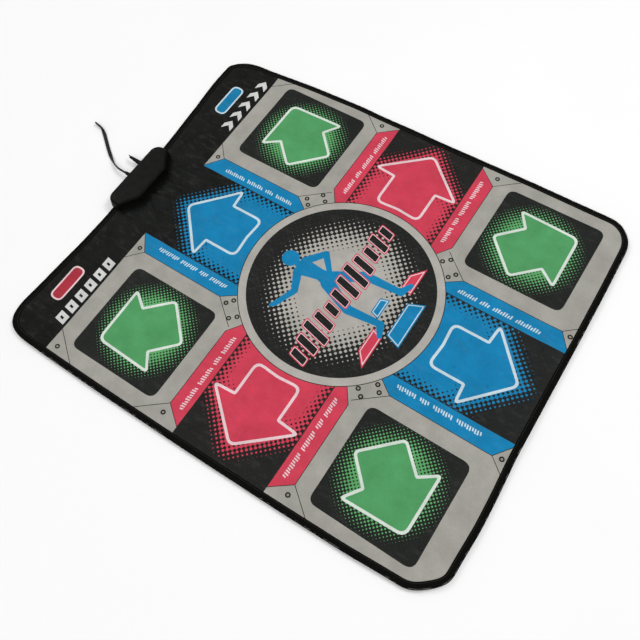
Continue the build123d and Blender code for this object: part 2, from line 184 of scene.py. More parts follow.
def drawn(x, y):
    """Where a point of the straight-edged plan lies in the real mat's slightly uneven outline."""
    x_out = along_line(RIGHT_PULL, y) * near_edge(MAT_HIGH.x - x)
    x_out -= along_line(LEFT_PULL, y) * near_edge(x - MAT_LOW.x)
    y_out = along_line(REAR_PULL, x) * near_edge(MAT_HIGH.y - y)
    y_out -= along_line(FRONT_PULL, x) * near_edge(y - MAT_LOW.y)
    centre = Vector((MAT_HIGH.x - CORNER, MAT_HIGH.y - MIDDLE_Y - CORNER))
    arm = Vector((abs(x), abs(y - MIDDLE_Y))) - centre
    if min(arm) > 0:
        share = (2 * arm.x * arm.y / arm.length_squared) ** 2 * ramp(arm.length, 0, CORNER - TAPE_WIDTH)
        arm *= CORNER_PULL[x > 0, y > MIDDLE_Y] * share / arm.length
        x_out += arm.x if x > 0 else -arm.x
        y_out += arm.y if y > MIDDLE_Y else -arm.y
    return x + x_out, y + y_out


def relaxed(x, y):
    """The point of the straight-edged plan that is drawn to this place."""
    at = Vector((x, y))
    for _ in range(3):
        at -= Vector(drawn(*at)) - Vector((x, y))
    return at.x, at.y


def place(x, y, z):
    """Where a point of the straight-edged layers lies on the real mat."""
    return Vector((*drawn(x, y), z + lift(x, y)))


def on_cover(x, y):
    """A point of the cover's face. The print is cut by the real outline, so it isn't drawn out of place."""
    flat = relaxed(x, y)
    return Vector((x, y, COVER_TOP + lift(*flat) + wrinkle(*flat)))


def wrinkle(x, y):
    """Height of the cover's own wrinkles: soft swells, folds that fan out from the box, seam puckers."""
    soft = 0.42 + 0.55 * noise.noise((x / 74, y / 96, 3.1)) + 0.2 * noise.noise((x / 23, y / 29, 8.7))
    gap = box_gap(x, y)
    angle = atan2(y - BOX_HIGH.y, x - BOX_X)
    turn = 15 * angle + 4 * noise.noise((2.2 * angle, gap / 90, 1.3))
    folds = 2.8 * max(cos(turn), 0) ** 2 * exp(-gap / 62) * ramp(gap, 0, 12)
    from_tape = edge_gap(x, y) - TAPE_WIDTH
    pucker = 0.8 * max(noise.noise((x / 17, y / 17, 6.1)), 0) * exp(-max(from_tape, 0) / 20)
    return ((max(soft, 0) + pucker) * ramp(gap, 2, 30) + folds) * ramp(from_tape, -1, 14)


# ---- Outlines of the print ----
QUADRANTS = [(sign_x, sign_y) for sign_x in (-1, 1) for sign_y in (-1, 1)]


def clockwise(corners):
    return sum(a[0] * b[1] - b[0] * a[1] for a, b in zip(corners, corners[1:] + corners[:1])) < 0


def grown(corners, by):
    """A polygon with its sides moved outwards, its corners in anticlockwise order."""
    corners = [Vector(c) for c in (corners[::-1] if clockwise(corners) else corners)]
    result = []
    for before, here, after in zip(corners[-1:] + corners[:-1], corners, corners[1:] + corners[:1]):
        into, out = (here - before).normalized(), (after - here).normalized()
        normal_in, normal_out = Vector((into.y, -into.x)), Vector((out.y, -out.x))
        result.append(here + (normal_in + normal_out) * by / (1 + normal_in.dot(normal_out)))
    return [tuple(p) for p in result]


def rounded(corners, radius, steps=5):
    """A polygon with its corners rounded; radius is one for all or one for each corner."""
    radii = radius if isinstance(radius, list) else [radius] * len(corners)
    points = []
    for i, r in enumerate(radii):
        before, here, after = (Vector(corners[(i + n) % len(corners)]) for n in (-1, 0, 1))
        into, out = here - before, after - here
        cut = min(r * tan(into.angle(out) / 2), 0.45 * into.length, 0.45 * out.length)
        start, end = here - into.normalized() * cut, here + out.normalized() * cut
        for step in range(steps + 1):
            t = step / steps
            points.append(tuple((1 - t) ** 2 * start + 2 * t * (1 - t) * here + t * t * end))
    return points


def circle(x, y, radius, count=14):
    angles = [2 * pi * n / count for n in range(count)]
    return [(x + radius * cos(angle), y + radius * sin(angle)) for angle in angles]


def rectangle(low_x, low_y, high_x, high_y):
    return [(low_x, low_y), (high_x, low_y), (high_x, high_y), (low_x, high_y)]


def stroke(start, end, width):
    """A straight line as a thin rectangle."""
    start, end = Vector(start), Vector(end)
    side = (end - start).normalized().orthogonal() * width / 2
    return [tuple(p) for p in (start - side, end - side, end + side, start + side)]


def capsule(start, end, start_radius, end_radius):
    """A tapered limb with round ends."""
    start, end = Vector(start), Vector(end)
    heading = atan2(end.y - start.y, end.x - start.x)
    points = []
    for centre, radius, first in ((end, end_radius, -pi / 2), (start, start_radius, pi / 2)):
        for n in range(8):
            angle = heading + first + pi * n / 7
            points.append((centre.x + radius * cos(angle), centre.y + radius * sin(angle)))
    return points


def turned(points, quarter):
    """The points turned round the disc's centre by quarter turns."""
    for _ in range(quarter % 4):
        points = [(-y, x) for x, y in points]
    return points


def mirrored(points, sign_x, sign_y):
    return [(sign_x * x, sign_y * y) for x, y in points]


def cross_arrow(wing):
    """A straight arrow that points along +Y, its wings' tips this far from its middle line."""
    return [(0, 376), (-wing, 296), (-48, 293), (-48, 221), (0, 225), (48, 221), (48, 293), (wing, 296)]


CROSS_RADII = [14, 4.5, 3, 14, 60, 14, 3, 4.5]
# The diagonal arrow that points to the corner of +X and +Y.
CORNER_ARROW = [(333, 335), (214, 337), (238, 304), (192, 257), (257, 192), (304, 238), (337, 214)]
CORNER_RADII = [16, 4.5, 3, 9, 9, 3, 4.5]
ARROW_EDGE = 2.7         # half the width of an arrow's pale outline

RING_OUTER = 200.0       # the grey ring round the disc
RING_INNER = 184.0
STRIP_INNER = 99.0       # the coloured strips, out from a straight arrow's middle line
STRIP_OUTER = 137.0
# The straight arrows, anticlockwise from the rear one: colour, where the strips beside it end, how much
# nearer to the disc than drawn it lies, and how far out its wings reach.
CROSS_ZONES = (
    ("blue", 411, 0.5, 87), ("red", 390, 10.5, 91.5), ("blue", 421, 2.2, 87), ("red", 390, 10.0, 91.5))
SQUARE_LOW = 170.0       # the black square round each diagonal arrow
SQUARE_HIGH = 373.0
HALO = 32.0              # reach of the dots round a straight arrow
HALO_SIDE = 68.0         # how far aside of the arrow its field starts to break into dots
HALO_AHEAD = (262.0, 312.0)              # where the even field turns into the arrow's halo
GLOW_AT = 268.0          # middle of the round glow behind each diagonal arrow
GLOW = (46.0, 104.0)     # the glow fades out between these radii
STAGE = (78.0, 160.0)    # and the dots on the disc between these
BLEED = 24.0             # the print runs this far past the mat's straight edges
PRINT_MIDDLE = (-3.6, -3.0)              # where the middle of the print lies on the mat
PRINT_WIDTH = 0.9885     # width of the print on the mat, as a share of its width here
DOT_PITCH = {"blue": 12.0, "red": 11.5, "green": 8.5, "grey": 13.5}

Area = namedtuple("Area", "outline ink dots pitch")


def plain(outline, ink):
    return Area(outline, ink, ink, 10.0)


def arrow_areas(outline, radii, colour):
    """An arrow with its pale outline, which keeps its width round the corners."""
    if clockwise(outline):
        outline, radii = outline[::-1], radii[::-1]
    areas = []
    for by, ink in ((ARROW_EDGE, colour + "_edge"), (-ARROW_EDGE, colour)):
        grown_radii = []
        for n, radius in enumerate(radii):
            inner_corner = clockwise([outline[(n + k) % len(outline)] for k in (-1, 0, 1)])
            grown_radii.append(max(radius - by if inner_corner else radius + by, 1.0))
        areas.append(plain(rounded(grown(outline, by), grown_radii), ink))
    return areas


def strip_areas(quarter, end, colour):
    """The two coloured strips beside a straight arrow, with their thin dark borders."""
    areas = []
    for side in (-1, 1):
        strip = [(STRIP_INNER, end), (STRIP_OUTER, end - 29), (STRIP_OUTER, 191), (115, 160)]
        strip.append((STRIP_INNER, 170))
        strip = turned([(side * x, y) for x, y in strip], quarter)
        areas += [plain(grown(strip, 0.9), "line"), plain(grown(strip, -0.4), colour)]
        areas += [plain(turned(tick, quarter), colour + "_edge") for tick in slogan_ticks(side)]
    return areas


def slogan_ticks(side):
    """Thin slanted ticks in four groups along a strip, in place of lettering."""
    ticks, along = [], 192.0
    for count in (8, 4, 8, 10):
        for n in range(count):
            low, tall = along + 5.0 * n, 8.6 if n % 3 else 6.4
            ticks.append([(side * x, y) for x, y in (
                (110, low), (110 + tall, low + 1.6), (110 + tall, low + 4.4), (110, low + 2.8))])
        along += 5.0 * count + 6.5
    return ticks


def seam_areas():
    """Thin dark lines between the printed grey plates."""
    corner = [((STRIP_OUTER, 191), (181, STRIP_OUTER)), ((361, STRIP_OUTER), (404, 190))]
    lines = [mirrored(line, *signs) for line in corner for signs in QUADRANTS]
    pairs = [((STRIP_OUTER, 383), (167, 410)), ((356, 410), (404, 347)), ((STRIP_OUTER, -392), (173, -435))]
    lines += [mirrored(line, sx, 1) for line in pairs for sx in (-1, 1)]
    return [plain(stroke(*line, 1.3), "line") for line in lines]


def bolt_areas():
    """The printed bolts at the corners of the grey plates; the front ones lie nearer to the edge."""
    quarter = [(142, 172), (130, 162), (166, 148), (155, 136), (134, 397), (382, 137)]
    spots = [(sx * x, sy * y) for x, y in quarter for sx, sy in QUADRANTS]
    spots = [(x, y if y > -390 else y - 12) for x, y in spots] + [(-389, 393)]
    rings = [plain(circle(x, y, 5.0), "bolt_ring") for x, y in spots]
    return rings + [plain(circle(x, y, 2.4, 10), "bolt") for x, y in spots]


def disc_areas():
    """The round stage: ring, dotted disc, a plain dancing figure, floor tiles and level bars."""
    areas = [
        plain(circle(0, 0, RING_OUTER + 1, 150), "line"),
        plain(circle(0, 0, RING_OUTER - 0.6, 150), "disc_grey"),
        Area(circle(0, 0, RING_INNER, 140), "cloth", "disc_grey", DOT_PITCH["grey"]),
    ]
    areas += tile_areas() + [plain(part, "blue") for part in figure()]
    for n, height in enumerate((34, 46, 58, 44, 30, 40, 54, 60, 48, 34, 44, 30)):
        x, lean = -160 + 28.5 * n, 0.12 * height
        low, high = -10 - height / 2, -10 + height / 2
        bar = [(x - lean - 8, low), (x - lean + 8, low), (x + lean + 8, high), (x + lean - 8, high)]
        for by, radius, ink in ((2.6, 4, "red"), (0.6, 3, "red_edge"), (-0.8, 2, "cloth")):
            areas.append(plain(rounded(grown(bar, by), radius, 3), ink))
    return areas


def tile_areas():
    tiles = [
        ([(-92, -97), (-38, -97), (-47, -121), (-120, -121)], "red"),
        ([(65, -97), (95, -97), (124, -121), (58, -121)], "red"),
        ([(-38, -125), (40, -125), (54, -157), (-50, -157)], "blue"),
        ([(-12, -75), (22, -75), (28, -94), (-18, -94)], "blue"),
    ]
    areas = []
    for outline, colour in tiles:
        areas += [plain(grown(outline, by), ink) for by, ink in ((0, colour), (-2.2, colour + "_edge"))]
        areas.append(plain(grown(outline, -4.0), colour))
    return areas


def figure():
    """A plain pictogram of somebody dancing."""
    head = (7, 121)
    neck, chest, waist = (4, 101), (3, 84), (6, 48)
    limbs = [
        (neck, chest, 8, 17), (chest, waist, 18, 12), (waist, (4, 30), 13, 16),
        ((-10, 93), (-50, 74), 9, 7), ((-50, 74), (-92, 90), 7, 5), ((-92, 90), (-99, 95), 6, 4),
        ((16, 93), (51, 66), 9, 7), ((51, 66), (22, 40), 7, 5.5),
        ((-3, 28), (-31, -35), 14, 10), ((-31, -35), (-25, -100), 10, 7), ((-25, -104), (-47, -115), 8, 5),
        ((12, 28), (49, -27), 14, 10), ((49, -27), (53, -98), 10, 7), ((53, -102), (76, -112), 8, 5),
    ]
    return [circle(*head, 18, 24)] + [capsule(*limb) for limb in limbs]


def menu_areas():
    """The two long buttons on the rear strip, each with plain marks in place of its name."""
    areas = []
    for pad, colour in (("pad_select", "red"), ("pad_start", "blue")):
        low, high = extent(pad)
        button = rectangle(low.x, low.y, high.x, high.y)
        areas += [plain(rounded(grown(button, -0.4), 15), colour + "_edge")]
        areas += [plain(rounded(grown(button, -4.0), 11), "pill_" + colour)]
    for n in range(6):
        x = -349 + 28.1 * n
        areas.append(plain([(x, 416), (x + 20, 416), (x + 23.5, 439), (x + 3.5, 439)], "white"))
        areas.append(plain([(x + 8, 424), (x + 13, 424), (x + 14.5, 432), (x + 9.5, 432)], "rear"))
    for n in range(5):
        x = 203 + 32.5 * n
        chevron = [(x, 417), (x + 14, 417), (x + 27, 429), (x + 14, 441), (x, 441), (x + 13, 429)]
        areas.append(plain(chevron, "white"))
    return areas


def print_areas():
    """Every printed area, from the lowest ink to the highest."""
    wide, front = MAT_HIGH.x + BLEED, MAT_LOW.y - BLEED
    areas = [plain(rectangle(-wide, front, wide, GREY_REAR), "grey")]
    for quarter, (colour, *_) in enumerate(CROSS_ZONES):
        cell = turned(rectangle(-STRIP_INNER, 150, STRIP_INNER, MAT_HIGH.y + BLEED), quarter)
        areas.append(Area(cell, "rear" if quarter == 0 else "cloth", colour, DOT_PITCH[colour]))
    for quarter, (colour, end, nearer, wing) in enumerate(CROSS_ZONES):
        areas += strip_areas(quarter, end, colour)
        arrow = [(x, y - nearer) for x, y in cross_arrow(wing)]
        areas += arrow_areas(turned(arrow, quarter), CROSS_RADII, colour)
    for signs in QUADRANTS:
        square = mirrored(rectangle(SQUARE_LOW, SQUARE_LOW, SQUARE_HIGH, SQUARE_HIGH), *signs)
        areas.append(Area(rounded(square, 17), "cloth", "green_glow", DOT_PITCH["green"]))
        areas += arrow_areas(mirrored(CORNER_ARROW, *signs), CORNER_RADII, "green")
    return areas + seam_areas() + disc_areas() + bolt_areas() + menu_areas()


def printed(x, y):
    """Where a point of the print lies on the mat."""
    return PRINT_MIDDLE[0] + PRINT_WIDTH * x, PRINT_MIDDLE[1] + y


def unprinted(points):
    """Points of the mat as points of the print."""
    return (points - np.array(PRINT_MIDDLE)) / np.array((PRINT_WIDTH, 1.0))


def distance_outside(points, outline):
    """How far each point lies outside a closed outline; 0 inside it."""
    best = np.full(len(points), 1e9)
    crossings = np.zeros(len(points), int)
    for a, b in zip(outline, outline[1:] + outline[:1]):
        a, b = np.array(a, float), np.array(b, float)
        share = np.clip(((points - a) @ (b - a)) / ((b - a) @ (b - a)), 0, 1)
        best = np.minimum(best, np.linalg.norm(points - a - share[:, None] * (b - a), axis=1))
        spans = (a[1] > points[:, 1]) != (b[1] > points[:, 1])
        rise = b[1] - a[1] if b[1] != a[1] else 1.0
        crossings += spans & (points[:, 0] < a[0] + (points[:, 1] - a[1]) * (b[0] - a[0]) / rise)
    return np.where(crossings % 2 == 1, 0.0, best)


def smooth_array(share):
    share = np.clip(share, 0, 1)
    return share * share * (3 - 2 * share)


def tones(points):
    """How much of the dot colour shows at each point, 0 to 1."""
    x, y = np.abs(points[:, 0]), np.abs(points[:, 1])
    corner = 0.84 * (GLOW[1] - np.hypot(x - GLOW_AT, y - GLOW_AT)) / (GLOW[1] - GLOW[0])
    u, v = np.where(x > y, y, x), np.where(x > y, x + CROSS_ZONES[1][2], y)
    halo = 0.7 * (1 - distance_outside(np.stack([u, v], 1), cross_arrow(88)) / HALO)
    side = 1 - 0.6 * smooth_array((u - HALO_SIDE) / (STRIP_INNER - HALO_SIDE))
    beyond = smooth_array((v - HALO_AHEAD[0]) / (HALO_AHEAD[1] - HALO_AHEAD[0]))
    cross = side * (1 - beyond) + np.minimum(side, halo) * beyond
    stage = 1 - (np.hypot(x / 1.04, y / 0.94) - STAGE[0]) / (STAGE[1] - STAGE[0])
    in_corner = (x > STRIP_OUTER) & (y > STRIP_OUTER)
    on_disc = np.hypot(x, y) < (RING_INNER + RING_OUTER) / 2
    return np.clip(np.where(on_disc, stage, np.where(in_corner, corner, cross)), 0, 1)


# ---- Zones that press down ----
ZONES = [name[len("pad_"):] for name in sorted(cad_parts) if name.startswith("pad_")]
Panel = namedtuple("Panel", "name zone outline start end")
RIM_INSET = 3.0          # a panel's start point lies this far inside a zone's rim


def zone_panels(zone):
    """The cover over one zone, cut along its diagonals into four panels, each with a point inside the
    zone's rim and one further in.
    """
    low, high = extent("pad_" + zone)
    centre = (low + high) / 2
    half = (high - low) / 2
    is_arrow = half.y > 50
    margin, slope = (11.0, 24.0) if is_arrow else (6.0, 10.0)
    reach_x, reach_y = half.x + margin, half.y + margin
    ridge = max(reach_x - reach_y, 0)
    corners = rectangle(centre.x - reach_x, centre.y - reach_y, centre.x + reach_x, centre.y + reach_y)
    left, right = (centre.x - ridge, centre.y), (centre.x + ridge, centre.y)
    outlines = [
        ("front", [corners[0], corners[1], right, left], (0, -1)),
        ("right", [corners[1], corners[2], right], (1, 0)),
        ("rear", [corners[2], corners[3], left, right], (0, 1)),
        ("left", [corners[3], corners[0], left], (-1, 0)),
    ]
    panels = []
    for side, outline, (dx, dy) in outlines:
        outline = [p for n, p in enumerate(outline) if p != outline[n - 1]]
        rim_x, rim_y = half.x - RIM_INSET, half.y - RIM_INSET
        start = (centre.x + dx * rim_x, centre.y + dy * rim_y)
        end = (centre.x + dx * (rim_x - slope), centre.y + dy * (rim_y - slope))
        panels.append(Panel(f"cover_{zone}.{side}", zone, outline, start, end))
    return panels


# ---- Mesh making ----
def linked(name, data):
    """A new object in the scene."""
    piece = bpy.data.objects.new(name, data)
    bpy.context.scene.collection.objects.link(piece)
    return piece


def add_piece(name, mesh, material, body="mat"):
    """An object for a finished mesh, with its finish, riding on a body unless body is None."""
    piece = linked(name, mesh)
    mesh.materials.append(material)
    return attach(piece, body) if body else piece


def mesh_of(name, points, faces):
    """A smooth mesh from points in millimetres."""
    mesh = bpy.data.meshes.new(name)
    mesh.from_pydata([tuple(Vector(p) * MM) for p in points], [], [tuple(f) for f in faces])
    mesh.shade_smooth()
    mesh.validate()
    return mesh


def swept_faces(rows, size, first=0):
    """Faces that close a tube: rows of a section of this many points, and its two ends."""
    last = first + (rows - 1) * size
    faces = [(row + n, row + (n + 1) % size, row + size + (n + 1) % size, row + size + n)
             for row in range(first, last, size) for n in range(size)]
    return faces + [tuple(range(first + size - 1, first - 1, -1)), tuple(range(last, last + size))]


def divided(outline, step=MESH_STEP):
    """The outline in anticlockwise order, with points no further apart than a step."""
    outline = outline[::-1] if clockwise(outline) else outline
    points = []
    for a, b in zip(outline, outline[1:] + outline[:1]):
        a, b = Vector(a), Vector(b)
        count = max(1, round((b - a).length / step))
        points += [tuple(a.lerp(b, n / count)) for n in range(count)]
    return points


def lattice(start, end, step):
    """Points of a square grid."""
    return [(x, y) for x in np.arange(start[0], end[0], step) for y in np.arange(start[1], end[1], step)]


def grid_points(outlines):
    """Points inside the mat, closer together round the control box, clear of every printed edge."""
    all_over = (round(MAT_LOW.x) - 9, round(MAT_LOW.y) - 6), (MAT_HIGH.x + 10, MAT_HIGH.y + 10)
    near_box = (round(BOX_X) - 186, round(BOX_LOW.y) - 100), (BOX_X + 186, MAT_HIGH.y)
    points = [p for p in lattice(*all_over, MESH_STEP) if box_gap(*p) > FINE_REACH]
    points += [p for p in lattice(*near_box, FINE_STEP) if box_gap(*p) <= FINE_REACH]
    edge_points = np.array([p for outline in outlines for p in outline])
    cell = 2.4               # points closer than about this to an edge are left out
    taken = {(int(px // cell) + dx, int(py // cell) + dy) for px, py in edge_points
             for dx in (-1, 0, 1) for dy in (-1, 0, 1)}
    return [tuple(p) for p in points if (int(p[0] // cell), int(p[1] // cell)) not in taken]


def mat_outline(inset):
    """The mat's rounded outline, moved in from its edge."""
    low, high, radius = MAT_LOW, MAT_HIGH, CORNER - inset
    centres = [(high.x - CORNER, high.y - CORNER, 0), (low.x + CORNER, high.y - CORNER, 1),
               (low.x + CORNER, low.y + CORNER, 2), (high.x - CORNER, low.y + CORNER, 3)]
    return [
        (x + radius * cos(pi / 2 * (quarter + n / 14)), y + radius * sin(pi / 2 * (quarter + n / 14)))
        for x, y, quarter in centres for n in range(15)
    ]


def cover_triangles(areas, panels):
    """The whole cover in triangles: points, triangles, and the areas and panels each lies in."""
    wide = BOX_HALF - COVER_UNDER_BOX
    narrow = wide - 24.5
    front, side, beyond = (round(BOX_LOW.y) + reach for reach in (14, 30, 100))
    notch = [(BOX_X + x, y) for x, y in (
        (-wide, beyond), (-wide, side), (-narrow, front), (narrow, front), (wide, side), (wide, beyond))]
    edge = [drawn(*point) for point in divided(mat_outline(1.5))]
    disc = rectangle(-STRIP_OUTER, -STRIP_OUTER, STRIP_OUTER, STRIP_OUTER)
    outlines = [divided(outline) for outline in [edge, notch, disc] + [p.outline for p in panels]]
    outlines += [[printed(*point) for point in divided(area.outline)] for area in areas]
    points, faces = [], []
    for outline in outlines:
        faces.append(list(range(len(points), len(points) + len(outline))))
        points += outline
    points += grid_points(outlines)
    found = geometry.delaunay_2d_cdt([Vector(p) for p in points], [], faces, 0, 1e-3)
    return found[0], found[2], found[5]


def cover_groups(triangles, inside, areas, panels):
    """The triangles of each piece of the cover, each with the print that lies on top there."""
    outline, notch, disc = range(3)
    first_panel = 3
    first_area = first_panel + len(panels)
    groups = {"cover_sheet": [], "cover_disc": []}
    for triangle, within in zip(triangles, inside):
        within = set(within)
        if outline not in within or notch in within:
            continue
        top = max(within)
        area = areas[top - first_area] if top >= first_area else plain(None, "rear")
        panel = [n for n in within if first_panel <= n < first_area]
        group = "cover_disc" if disc in within else "cover_sheet"
        group = panels[panel[0] - first_panel].name if panel else group
        groups.setdefault(group, []).append((triangle, area))
    return groups


def build_cover(material):
    """The printed cover: one sheet with a pattern, cut only where zones press down."""
    areas = print_areas()
    panels = [panel for zone in ZONES for panel in zone_panels(zone)]
    flat, triangles, inside = cover_triangles(areas, panels)
    groups = cover_groups(triangles, inside, areas, panels)
    plan = np.array([tuple(p) for p in flat])
    tone = tones(unprinted(plan))
    placed = [on_cover(x, y) for x, y in plan]
    pieces = {name: cover_piece(name, group, placed, tone, material) for name, group in groups.items()}
    for panel in panels:
        piece = pieces[panel.name]
        start, end = (on_cover(*point) * MM for point in (panel.start, panel.end))
        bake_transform(piece)
        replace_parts(piece, "pad_" + panel.zone)
    for name in ("cover_sheet", "cover_disc"):
        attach(pieces[name], "mat")
        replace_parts(pieces[name], "printed_cover")


def cover_piece(name, group, placed, tone, material):
    """One piece of the cover, with its inks and tones stored on the mesh."""
    used = sorted({n for triangle, _ in group for n in triangle})
    number = {n: i for i, n in enumerate(used)}
    mesh = mesh_of(name, [placed[n] for n in used], [[number[n] for n in t] for t, _ in group])
    for kind in ("ink", "dots"):
        layer = mesh.attributes.new(kind, "FLOAT_COLOR", "CORNER")
        colours = [(*linear(INKS[getattr(area, kind)]), area.pitch / 10) for _, area in group]
        layer.data.foreach_set("color", np.repeat(np.array(colours, np.float32), 3, axis=0).ravel())
    layer = mesh.attributes.new("tone", "FLOAT", "POINT")
    layer.data.foreach_set("value", tone[used].astype(np.float32))
    return add_piece(name, mesh, material, body=None)


def waved_copy(node, name, material, body="mat"):
    """A CAD layer of the mat, laid on the same waves as the cover."""
    work = bmesh.new()
    work.from_mesh(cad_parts[node].data)
    bmesh.ops.remove_doubles(work, verts=work.verts, dist=1e-6)
    low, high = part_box(node)
    step = LAYER_STEP * MM
    for axis in (0, 1):
        normal = Vector((1, 0, 0)) if axis == 0 else Vector((0, 1, 0))
        for n in range(int(low[axis] / step), int(high[axis] / step) + 1):
            parts = work.verts[:] + work.edges[:] + work.faces[:]
            bmesh.ops.bisect_plane(work, geom=parts, plane_co=normal * n * step, plane_no=normal, dist=1e-5)
    for vert in work.verts:
        x, y, z = vert.co / MM
        if edge_gap(x, y) < TAPE_TUCK:
            x, y = Vector((x, y)) + TAPE_TUCK * inward(x, y)
        vert.co = place(x, y, z) * MM
    mesh = bpy.data.meshes.new(name)
    work.to_mesh(mesh)
    work.free()
    piece = add_piece(name, mesh, material, body)
    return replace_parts(piece, node)


# ---- Edge binding ----
# Section of the folded tape: distance in from the edge, and height.
TAPE_SECTION = [
    (13.2, 5.3), (13.1, 5.9), (12.2, 6.05), (9.0, 6.1), (5.0, 6.05), (2.4, 5.8), (0.8, 5.1), (0.1, 3.9),
    (0.0, 2.8), (0.1, 1.5), (0.6, 0.5), (1.8, 0.0), (12.4, 0.0), (13.0, 0.3), (12.6, 0.55), (3.0, 0.6),
    (1.1, 1.4), (0.7, 2.8), (1.0, 4.4), (3.0, 5.3),
]
STITCH_INSET = 10.4
STITCH_PITCH = 4.2
STITCH_HEIGHT = 6.12     # just above the tape


def edge_walk(step):
    """Points along the mat's edge with their outward direction, from one side of the box to the other."""
    outline = divided(mat_outline(0), step)
    count = len(outline)
    reach = BOX_HALF - TAPE_UNDER_BOX
    left_end = Vector((BOX_X - reach, MAT_HIGH.y))
    start = min(range(count), key=lambda n: (Vector(outline[n]) - left_end).length)
    walk = []
    for n in range(start, start + count):
        before, here, after = (Vector(outline[(n + k) % count]) for k in (-1, 0, 1))
        if here.y > BOX_LOW.y and abs(here.x - BOX_X) < reach:
            continue
        along = (after - before).normalized()
        walk.append((here, Vector((along.y, -along.x))))
    return walk


def on_edge(point, outward, inset, z):
    """A point of the tape, with the small puckers that its seam draws in."""
    spot = point - outward * inset
    top = ramp(z, 2, 5)
    pucker = 0.55 * noise.noise((point.x / 9, point.y / 9, 2.2)) * top
    return place(spot.x, spot.y, z + max(pucker, -0.15))


def build_binding(material, thread):
    """The tape folded round the mat's edge, with its ends under the box, and the thread that holds it."""
    walk = edge_walk(4.0)
    points = [on_edge(p, out, inset, z) for p, out in walk for inset, z in TAPE_SECTION]
    mesh = mesh_of("edge_tape", points, swept_faces(len(walk), len(TAPE_SECTION)))
    outwards(mesh)
    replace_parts(add_piece("edge_tape", mesh, material), "edge_binding")
    build_stitches(thread)


def outwards(mesh):
    """Turns every face to the outside of its closed shape."""
    work = bmesh.new()
    work.from_mesh(mesh)
    bmesh.ops.recalc_face_normals(work, faces=work.faces)
    work.to_mesh(mesh)
    work.free()


def build_stitches(material):
    """The seam of the binding: one short, plump thread for every stitch."""
    walk = edge_walk(STITCH_PITCH)
    points, faces = [], []
    rings = [(0.0, 0.02), (0.15, 0.24), (0.5, 0.34), (0.85, 0.24), (1.0, 0.02)]
    sides = 6
    for (here, out), (after, _) in zip(walk, walk[1:]):
        if (after - here).length > 2 * STITCH_PITCH:
            continue
        first = len(points)
        for share, radius in rings:
            at = here.lerp(after, 0.08 + 0.74 * share)
            for n in range(sides):
                angle = 2 * pi * n / sides
                points.append(on_edge(at, out, STITCH_INSET + radius * cos(angle),
                                      STITCH_HEIGHT + radius * sin(angle)))
        faces += swept_faces(len(rings), sides, first)
    mesh = mesh_of("binding_thread", points, faces)
    outwards(mesh)
    add_piece("binding_thread", mesh, material)


# ---- The leads ----
LONG_EXIT = (-0.0095, 0.537, 0.012)
LONG_ROUTE = [
    LONG_EXIT, (-0.0087, 0.549, 0.0109), (-0.007, 0.563, 0.0082), (-0.002, 0.578, 0.0055),
    (0.006, 0.593, 0.0036), (0.0165, 0.609, 0.0024), (0.0295, 0.627, 0.0018), (0.042, 0.643, 0.0019),
    (0.0525, 0.6565, 0.0028), (0.060, 0.669, 0.0041), (0.0636, 0.6805, 0.0044), (0.0649, 0.6923, 0.0046),
]
SHORT_ROUTE = [
    (0.026, 0.5185, 0.012), (0.0264, 0.530, 0.012), (0.0273, 0.5425, 0.01195),
    (0.0284, 0.5545, 0.0118), (0.0312, 0.5623, 0.0109),
]
LEAD_WIDTH = 0.0076
LEAD_THICKNESS = 0.0027
SHORT_DIAMETER = 0.002


def nurbs(name, route, bevel=0.0):
    """A smooth curve with the route's points as its control points."""
    curve = bpy.data.curves.new(name, "CURVE")
    curve.dimensions = "3D"
    spline = curve.splines.new("NURBS")
    spline.points.add(len(route) - 1)
    for point, place_at in zip(spline.points, route):
        point.co = (*place_at, 1)
    spline.order_u = 3
    spline.use_endpoint_u = True
    curve.resolution_u = 12
    curve.bevel_depth = bevel
    curve.bevel_resolution = 4
    curve.use_fill_caps = bevel > 0
    return linked(name, curve)


def read_line(route):
    """Points along the route's smooth curve."""
    piece = nurbs("route", route)
    line = bpy.data.meshes.new_from_object(piece)
    points = [v.co.copy() for v in line.vertices]
    bpy.data.objects.remove(piece)
    bpy.data.meshes.remove(line)
    return points


def flat_lead_section():
    """Section of a flat four-core lead: four soft lobes side by side."""
    points, count = [], 52
    for n in range(count):
        angle = 2 * pi * n / count
        across = cos(angle)
        lobe = 0.86 + 0.14 * abs(sin(2 * pi * across))
        half = lobe * (1 - abs(across) ** 6) ** 0.5 * (1 if angle < pi else -1)
        points.append((across * LEAD_WIDTH / 2, half * LEAD_THICKNESS / 2))
    return points


def build_long_lead(material):
    """The flat lead leaves its boot on edge, lies flat on the floor, and turns on edge again."""
    line = read_line(LONG_ROUTE)
    section = flat_lead_section()
    points, travelled = [], 0.0
    for n, here in enumerate(line):
        if n:
            travelled += (here - line[n - 1]).length
        along = (line[min(n + 1, len(line) - 1)] - line[max(n - 1, 0)]).normalized()
        side = along.cross(Vector((0, 0, 1))).normalized()
        up = side.cross(along)
        flat = ramp(travelled, 0.042, 0.082) - ramp(travelled, 0.130, 0.168)
        tilt = radians(90 * flat)
        width_way = up * cos(tilt) + side * sin(tilt)
        thick_way = along.cross(width_way)
        points += [(here + width_way * a + thick_way * b) / MM for a, b in section]
    mesh = mesh_of("lead_flat", points, swept_faces(len(line), len(section)))
    outwards(mesh)
    lead = add_piece("lead_flat", mesh, material)
    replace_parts(lead, "lead_long")


def build_short_lead(material):
    """The round lead is a short stub that stands out of its boot."""
    lead = nurbs("lead_round", SHORT_ROUTE, SHORT_DIAMETER / 2)
    lead.data.materials.append(material)
    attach(lead, "mat")
    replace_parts(lead, "lead_short")


